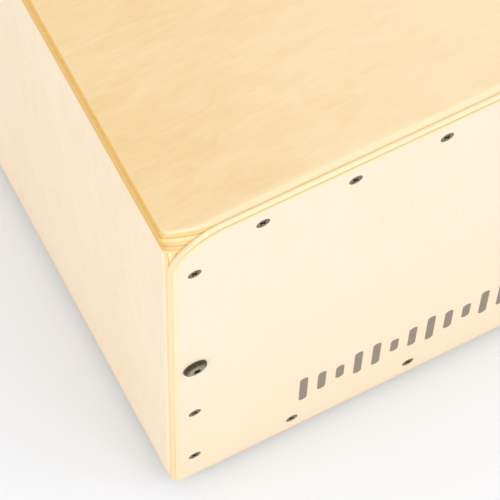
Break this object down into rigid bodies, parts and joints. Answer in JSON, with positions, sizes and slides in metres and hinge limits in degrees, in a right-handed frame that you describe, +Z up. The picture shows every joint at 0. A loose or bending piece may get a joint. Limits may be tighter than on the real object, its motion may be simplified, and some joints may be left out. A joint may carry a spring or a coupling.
{
  "type": "cajon",
  "caption": "Compact plywood box drum with a screwed front plate, turnable hex-socket tuning bolts, inner snare, rear sound hole and rubber feet.",
  "frame": {"origin": "on the floor under the centre of the whole drum, bolt heads and feet included", "axes": "+Z up, +Y from the front plate to the back, +X to the right as seen from the front"},
  "size_m": [0.3, 0.2984, 0.32],
  "materials": {
    "birch_plywood": "satin clear lacquer, ply layers on the cut edges",
    "front_plate_birch": "satin clear lacquer, very pale veneer",
    "pine_batten": "planed, unfinished",
    "black_steel": "black oxide, satin",
    "zinc_steel": "bright zinc plated",
    "snare_wire": "bright spring wire",
    "brass": "machined",
    "black_rubber": "matte moulded"
  },
  "bodies": {
    "cabinet": {"top_panel": "birch_plywood", "bottom_panel": "birch_plywood", "left_side_panel": "birch_plywood", "right_side_panel": "birch_plywood", "back_panel": "birch_plywood", "front_plate": "front_plate_birch", "front_batten_top": "pine_batten", "front_batten_bottom": "pine_batten", "front_batten_left": "pine_batten", "front_batten_right": "pine_batten", "rear_batten_top": "pine_batten", "rear_batten_bottom": "pine_batten", "rear_batten_left": "pine_batten", "rear_batten_right": "pine_batten", "top_row_screws": "black_steel", "left_column_screws": "black_steel", "right_column_screws": "black_steel", "bottom_row_screws": "black_steel", "left_threaded_insert": "brass", "right_threaded_insert": "brass", "snare_bar": "pine_batten", "left_snare_strap": "zinc_steel", "right_snare_strap": "zinc_steel", "strap_screws": "zinc_steel", "left_snare_clip": "zinc_steel", "right_snare_clip": "zinc_steel", "clip_screws": "zinc_steel", "left_snare_wires": "snare_wire", "right_snare_wires": "snare_wire", "left_snare_tip": "zinc_steel", "right_snare_tip": "zinc_steel", "front_left_foot": "black_rubber", "front_right_foot": "black_rubber", "rear_left_foot": "black_rubber", "rear_right_foot": "black_rubber", "foot_screws": "zinc_steel"},
    "left_washer": {"left_washer": "black_steel"},
    "left_bolt": {"left_tuning_bolt": "black_steel"},
    "right_washer": {"right_washer": "black_steel"},
    "right_bolt": {"right_tuning_bolt": "black_steel"}
  },
  "joints": [
    {"name": "left_bolt_travel", "type": "slide", "parent": "cabinet", "child": "left_washer", "axis": [0, -1, 0], "range_m": [0, 0.003]},
    {"name": "left_bolt_turn", "type": "hinge", "parent": "left_washer", "child": "left_bolt", "pos_m": [-0.1365, -0.14633, 0.167], "axis": [0, -1, 0], "range_deg": [0, 1080]},
    {"name": "right_bolt_travel", "type": "slide", "parent": "cabinet", "child": "right_washer", "axis": [0, -1, 0], "range_m": [0, 0.003]},
    {"name": "right_bolt_turn", "type": "hinge", "parent": "right_washer", "child": "right_bolt", "pos_m": [0.1365, -0.14633, 0.167], "axis": [0, -1, 0], "range_deg": [0, 1080]}
  ],
  "couplings": [
    {"joint": "left_bolt_turn", "follows": "left_bolt_travel", "rad_per_m": 6283.2},
    {"joint": "right_bolt_turn", "follows": "right_bolt_travel", "rad_per_m": 6283.2}
  ]
}
